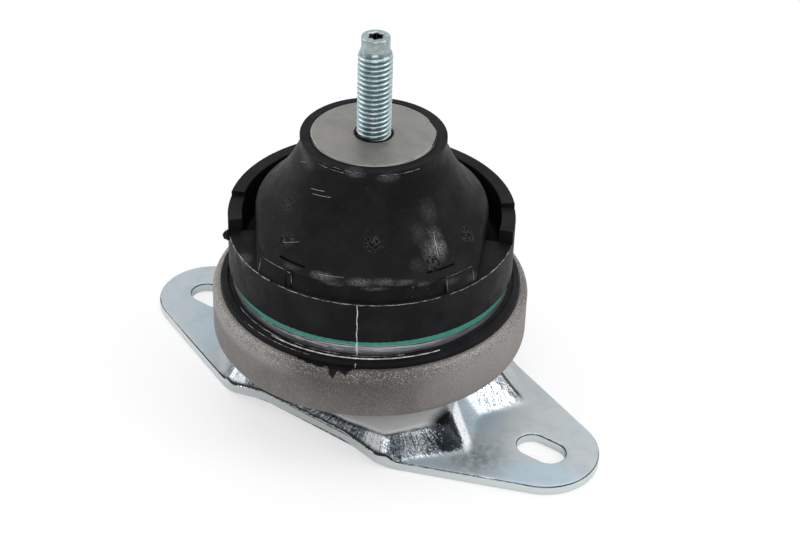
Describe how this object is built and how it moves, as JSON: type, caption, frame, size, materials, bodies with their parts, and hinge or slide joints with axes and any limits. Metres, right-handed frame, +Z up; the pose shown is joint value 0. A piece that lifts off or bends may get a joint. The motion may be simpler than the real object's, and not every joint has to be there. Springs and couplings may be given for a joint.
{
  "type": "engine mount",
  "caption": "Hydraulic engine mount: rubber bell with a threaded stud, clamped in a round steel cup on a pressed base plate with a slotted hole in each end.",
  "frame": {"origin": "underside of the base plate, below the axis of the round body", "axes": "+X along the base plate towards one slotted end, +Z up along the stud"},
  "size_m": [0.1614, 0.0948, 0.1187],
  "materials": {
    "zinc_plated_steel": "bright zinc plated pressing",
    "phosphated_steel": "matt grey phosphated steel",
    "bonded_steel": "bare steel with green bonding agent at its edge",
    "natural_rubber": "moulded black rubber, semi-matt",
    "bare_steel": "turned steel, dulled",
    "zinc_plated_stud": "zinc plated thread",
    "cast_aluminium": "die cast",
    "stamped_steel": "stamped and oiled",
    "membrane_rubber": "thin moulded rubber, matt"
  },
  "bodies": {
    "root": {"base_plate": "zinc_plated_steel", "housing_cup": "phosphated_steel", "armature_ring": "bonded_steel", "rubber_spring": "natural_rubber", "core_insert": "bare_steel", "stud": "zinc_plated_stud", "orifice_body": "cast_aluminium", "orifice_cover": "stamped_steel", "decoupler_membrane": "membrane_rubber", "diaphragm": "membrane_rubber", "diaphragm_ring": "stamped_steel"}
  },
  "joints": []
}
